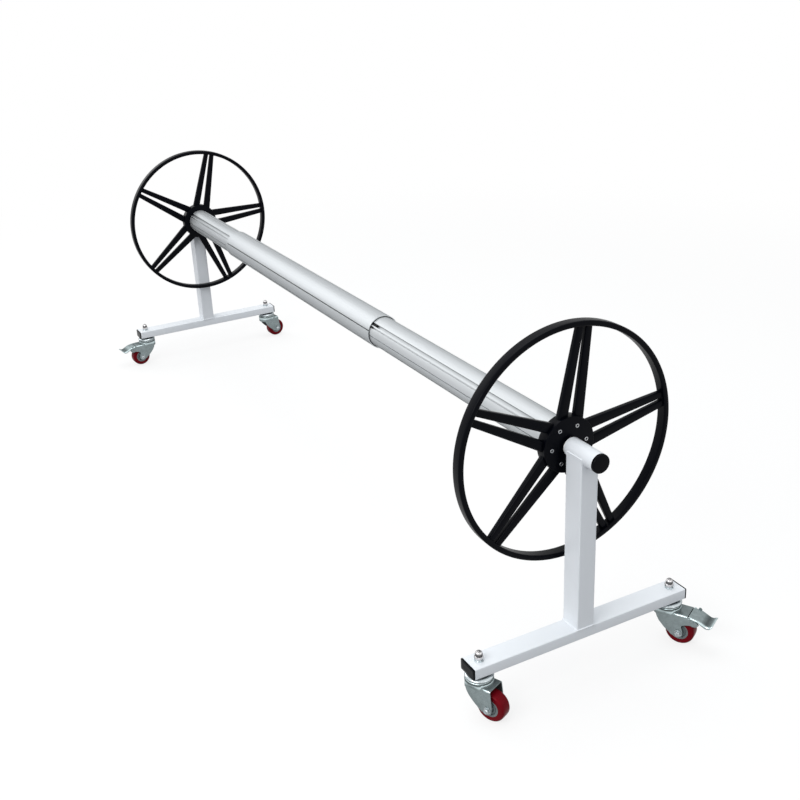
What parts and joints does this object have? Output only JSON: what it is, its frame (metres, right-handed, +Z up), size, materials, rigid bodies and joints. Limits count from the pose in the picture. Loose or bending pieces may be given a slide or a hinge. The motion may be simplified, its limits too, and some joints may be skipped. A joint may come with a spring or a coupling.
{
  "type": "pool cover reel",
  "caption": "Free-standing pool cover reel: a telescoping aluminium tube with black handwheels, carried by white steel stands on swivel casters with red tyres and foot brakes.",
  "frame": {"origin": "centre of the footprint's bounding box, on the floor", "axes": "+X along the reel's tube towards its near end, +Y along the base beams, +Z up"},
  "size_m": [3.0482, 0.8034, 0.9325],
  "materials": {
    "white_powder_coat": "satin",
    "anodised_aluminium": "satin",
    "black_moulding": "fine grain",
    "black_plastic": "satin",
    "white_nylon": "satin",
    "steel": "satin",
    "zinc_plate": "bright zinc",
    "stainless": "polished",
    "red_tyre": "satin",
    "grey_core": "satin"
  },
  "bodies": {
    "near_stand": {"near_base_beam": "white_powder_coat", "near_upright_post": "white_powder_coat", "near_bearing_tube": "white_powder_coat", "near_bush": "white_nylon", "near_bearing_cap": "black_plastic", "near_left_beam_cap": "black_plastic", "near_right_beam_cap": "black_plastic", "near_left_stem_bolt": "steel", "near_left_acorn_nut": "stainless", "near_left_swivel_cup": "zinc_plate", "near_right_stem_bolt": "steel", "near_right_acorn_nut": "stainless", "near_right_swivel_cup": "zinc_plate"},
    "near_reel": {"near_tube": "anodised_aluminium", "near_tube_plug": "black_plastic", "near_axle": "steel", "near_axle_collar": "steel", "near_handwheel": "black_moulding"},
    "sleeve": {"centre_sleeve": "anodised_aluminium", "near_sleeve_ring": "black_plastic", "far_sleeve_ring": "black_plastic"},
    "far_reel": {"far_tube": "anodised_aluminium", "far_tube_plug": "black_plastic", "far_axle": "steel", "far_axle_collar": "steel", "far_handwheel": "black_moulding"},
    "far_stand": {"far_base_beam": "white_powder_coat", "far_upright_post": "white_powder_coat", "far_bearing_tube": "white_powder_coat", "far_bush": "white_nylon", "far_bearing_cap": "black_plastic", "far_left_beam_cap": "black_plastic", "far_right_beam_cap": "black_plastic", "far_left_stem_bolt": "steel", "far_left_acorn_nut": "stainless", "far_left_swivel_cup": "zinc_plate", "far_right_stem_bolt": "steel", "far_right_acorn_nut": "stainless", "far_right_swivel_cup": "zinc_plate"},
    "near_left_swivel": {"near_left_fork": "zinc_plate", "near_left_axle_bolt": "zinc_plate"},
    "near_left_wheel": {"near_left_tyre": "red_tyre", "near_left_wheel_core": "grey_core"},
    "near_right_swivel": {"near_right_fork": "zinc_plate", "near_right_axle_bolt": "zinc_plate", "near_right_pedal_pin": "zinc_plate"},
    "near_right_wheel": {"near_right_tyre": "red_tyre", "near_right_wheel_core": "grey_core"},
    "near_right_pedal": {"near_right_brake_pedal": "zinc_plate"},
    "far_left_swivel": {"far_left_fork": "zinc_plate", "far_left_axle_bolt": "zinc_plate", "far_left_pedal_pin": "zinc_plate"},
    "far_left_wheel": {"far_left_tyre": "red_tyre", "far_left_wheel_core": "grey_core"},
    "far_left_pedal": {"far_left_brake_pedal": "zinc_plate"},
    "far_right_swivel": {"far_right_fork": "zinc_plate", "far_right_axle_bolt": "zinc_plate"},
    "far_right_wheel": {"far_right_tyre": "red_tyre", "far_right_wheel_core": "grey_core"}
  },
  "joints": [
    {"name": "reel_spin", "type": "hinge", "parent": "near_stand", "child": "near_reel", "pos_m": [1.40033, 0.02093, 0.6265], "axis": [1, 0, 0], "continuous": true},
    {"name": "near_telescope", "type": "slide", "parent": "near_reel", "child": "sleeve", "axis": [-1, 0, 0], "range_m": [-0.06, 0.2]},
    {"name": "far_telescope", "type": "slide", "parent": "sleeve", "child": "far_reel", "axis": [-1, 0, 0], "range_m": [-0.06, 0.6]},
    {"name": "far_stand_turn", "type": "hinge", "parent": "far_reel", "child": "far_stand", "pos_m": [-1.45127, 0.02093, 0.6265], "axis": [1, 0, 0], "continuous": true},
    {"name": "near_left_swivel_turn", "type": "hinge", "parent": "near_stand", "child": "near_left_swivel", "pos_m": [1.40033, -0.27257, 0.1235], "axis": [0, 0, 1], "continuous": true},
    {"name": "near_left_wheel_spin", "type": "hinge", "parent": "near_left_swivel", "child": "near_left_wheel", "pos_m": [1.43627, -0.25619, 0.039], "axis": [-0.4147, 0.91, 0], "continuous": true},
    {"name": "near_right_swivel_turn", "type": "hinge", "parent": "near_stand", "child": "near_right_swivel", "pos_m": [1.40033, 0.31443, 0.1235], "axis": [0, 0, 1], "continuous": true},
    {"name": "near_right_wheel_spin", "type": "hinge", "parent": "near_right_swivel", "child": "near_right_wheel", "pos_m": [1.43454, 0.33418, 0.039], "axis": [-0.5, 0.866, 0], "continuous": true},
    {"name": "near_right_brake", "type": "hinge", "parent": "near_right_swivel", "child": "near_right_pedal", "pos_m": [1.46355, 0.35093, 0.0855], "axis": [-0.5, 0.866, 0], "range_deg": [0, 10]},
    {"name": "far_left_swivel_turn", "type": "hinge", "parent": "far_stand", "child": "far_left_swivel", "pos_m": [-1.45127, -0.27257, 0.1235], "axis": [0, 0, 1], "continuous": true},
    {"name": "far_left_wheel_spin", "type": "hinge", "parent": "far_left_swivel", "child": "far_left_wheel", "pos_m": [-1.44714, -0.31185, 0.039], "axis": [0.9945, 0.1045, 0], "continuous": true},
    {"name": "far_left_brake", "type": "hinge", "parent": "far_left_swivel", "child": "far_left_pedal", "pos_m": [-1.44364, -0.34517, 0.0855], "axis": [0.9945, 0.1045, 0], "range_deg": [0, 10]},
    {"name": "far_right_swivel_turn", "type": "hinge", "parent": "far_stand", "child": "far_right_swivel", "pos_m": [-1.45127, 0.31443, 0.1235], "axis": [0, 0, 1], "continuous": true},
    {"name": "far_right_wheel_spin", "type": "hinge", "parent": "far_right_swivel", "child": "far_right_wheel", "pos_m": [-1.45677, 0.35355, 0.039], "axis": [-0.9903, -0.1392, 0], "continuous": true}
  ],
  "couplings": [
    {"joint": "far_stand_turn", "follows": "reel_spin", "ratio": -1}
  ]
}
